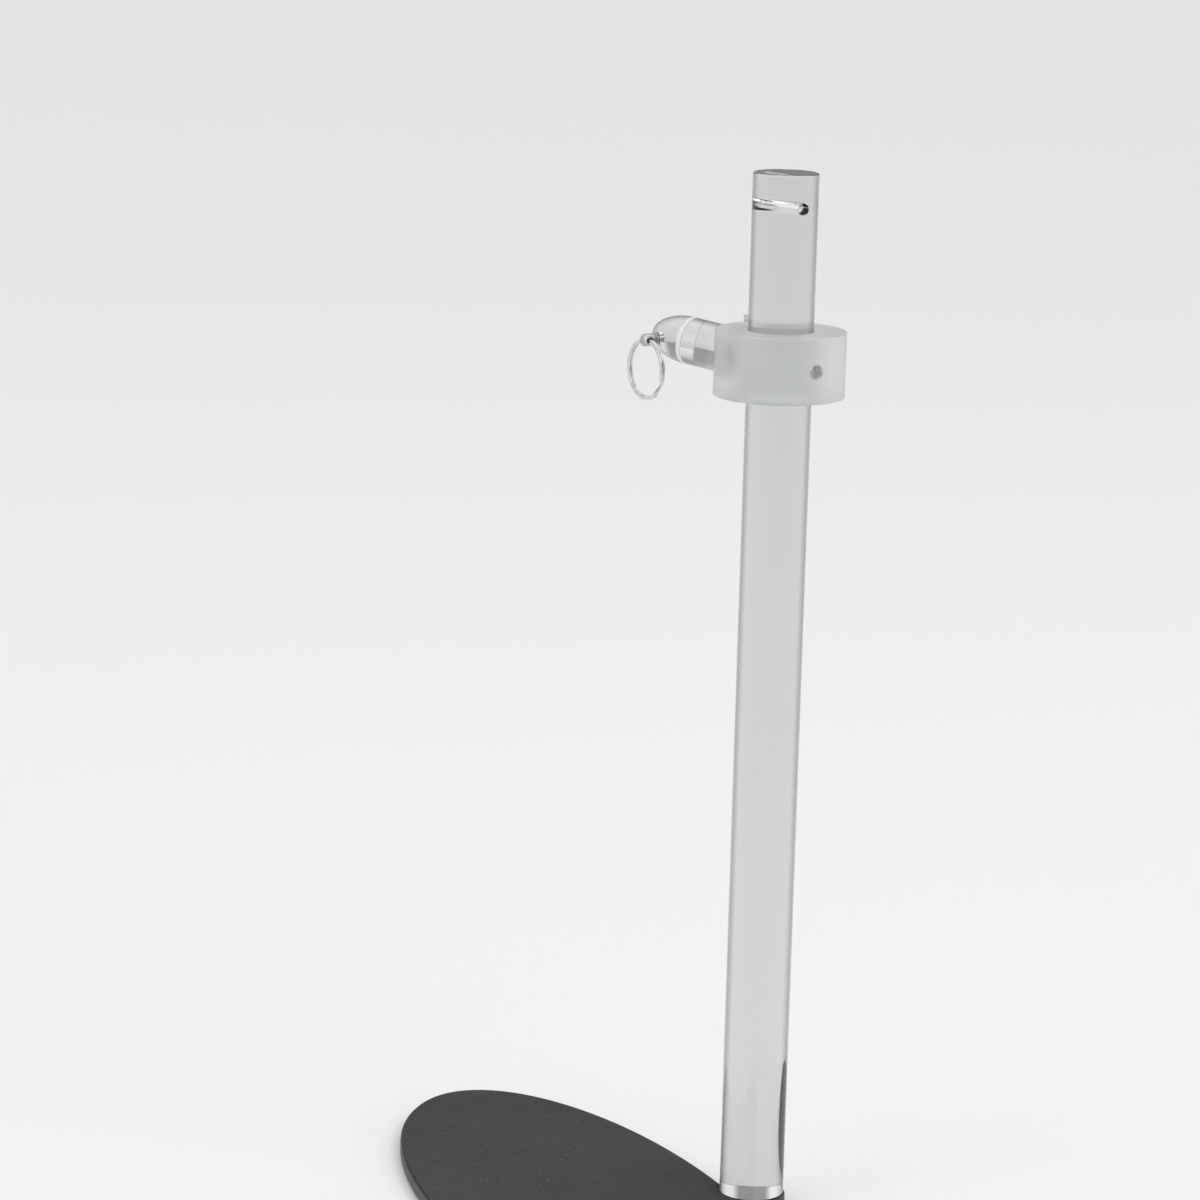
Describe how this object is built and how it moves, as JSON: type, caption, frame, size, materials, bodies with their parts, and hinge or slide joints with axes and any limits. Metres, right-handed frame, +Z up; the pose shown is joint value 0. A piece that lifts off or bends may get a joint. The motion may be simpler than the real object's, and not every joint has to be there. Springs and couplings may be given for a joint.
{
  "type": "saxophone stand",
  "caption": "Display stand for a saxophone: oval base plate, clear post at its side, sliding frosted collar, short clear arm with an eye stud and a steel split ring.",
  "frame": {"origin": "the underside of the base, at the middle of the oval", "axes": "+Z up along the post, +Y along the oval's long axis, +X from the middle of the oval to the post"},
  "size_m": [0.1515, 0.3, 0.4055],
  "materials": {
    "underside_felt": "matte",
    "painted_plate": "matte",
    "rubber_mat": "matte",
    "black_bond": "satin",
    "clear_acrylic": "gloss",
    "frosted_acrylic": "satin",
    "clear_screw": "gloss",
    "white_joint": "satin",
    "dull_nickel": "satin",
    "bright_steel": "polished"
  },
  "bodies": {
    "base": {"base_sheet": "underside_felt", "base_plate": "painted_plate", "base_mat": "rubber_mat", "foot_bond": "black_bond", "post": "clear_acrylic"},
    "collar": {"collar": "frosted_acrylic"},
    "clamp_screw": {"clamp_screw": "clear_screw"},
    "arm_screw": {"arm_screw": "clear_screw"},
    "arm": {"arm": "clear_acrylic", "nose_joint": "white_joint", "nose": "clear_acrylic"},
    "eye_stud": {"eye_stud": "dull_nickel"},
    "split_ring": {"split_ring": "bright_steel"}
  },
  "joints": [
    {"name": "collar_height", "type": "slide", "parent": "base", "child": "collar", "axis": [0, 0, 1], "range_m": [-0.3, 0.055]},
    {"name": "clamp_screw_travel", "type": "slide", "parent": "collar", "child": "clamp_screw", "axis": [0.1736, -0.9848, 0], "range_m": [0, 0.005]},
    {"name": "arm_reach", "type": "slide", "parent": "collar", "child": "arm", "axis": [-0.5702, 0.8144, 0.108], "range_m": [0, 0.006]},
    {"name": "arm_screw_travel", "type": "slide", "parent": "collar", "child": "arm_screw", "axis": [0, 0, 1], "range_m": [0, 0.003]},
    {"name": "eye_turn", "type": "hinge", "parent": "arm", "child": "eye_stud", "pos_m": [0.03272, 0.03892, 0.33785], "axis": [-0.9781, -0.2079, 0], "range_deg": [-90, 90]},
    {"name": "ring_swing", "type": "hinge", "parent": "eye_stud", "child": "split_ring", "pos_m": [0.02851, 0.03802, 0.33785], "axis": [0.2079, -0.9781, 0], "range_deg": [-120, 20]}
  ]
}
